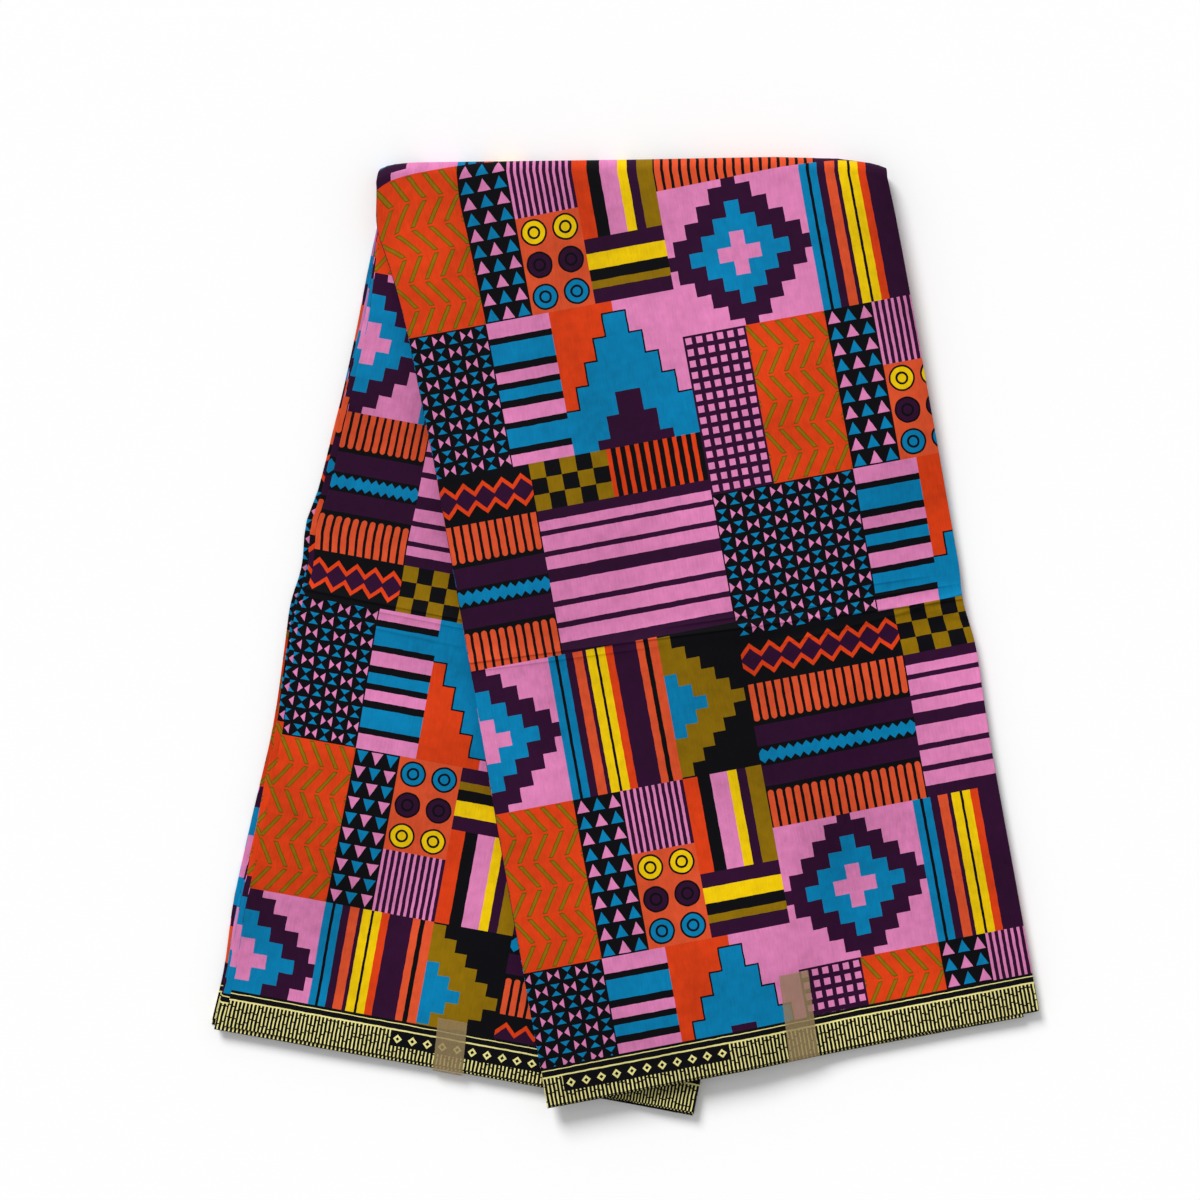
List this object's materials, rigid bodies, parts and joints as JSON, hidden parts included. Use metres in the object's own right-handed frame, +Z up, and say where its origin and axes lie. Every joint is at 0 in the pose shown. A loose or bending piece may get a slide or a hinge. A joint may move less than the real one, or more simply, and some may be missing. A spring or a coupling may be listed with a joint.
{
  "type": "folded african wax print fabric piece",
  "caption": "Long piece of bold patchwork wax print cotton, pleated into a flat stack and folded once so its two legs spread in an upside-down V.",
  "frame": {"origin": "on the surface the cloth lies on, under the middle of the folded piece", "axes": "+Z up through the stack, +Y from the selvedges towards the top fold, +X towards the front leg's free edge"},
  "size_m": [0.5304, 0.6132, 0.0167],
  "materials": {
    "printed_cotton": "matte",
    "tape": "satin"
  },
  "bodies": {
    "root": {"outer_leaf": "printed_cotton", "hidden_leaves": "printed_cotton", "inner_leaf": "printed_cotton", "tape_front": "tape", "tape_back": "tape"}
  },
  "joints": []
}
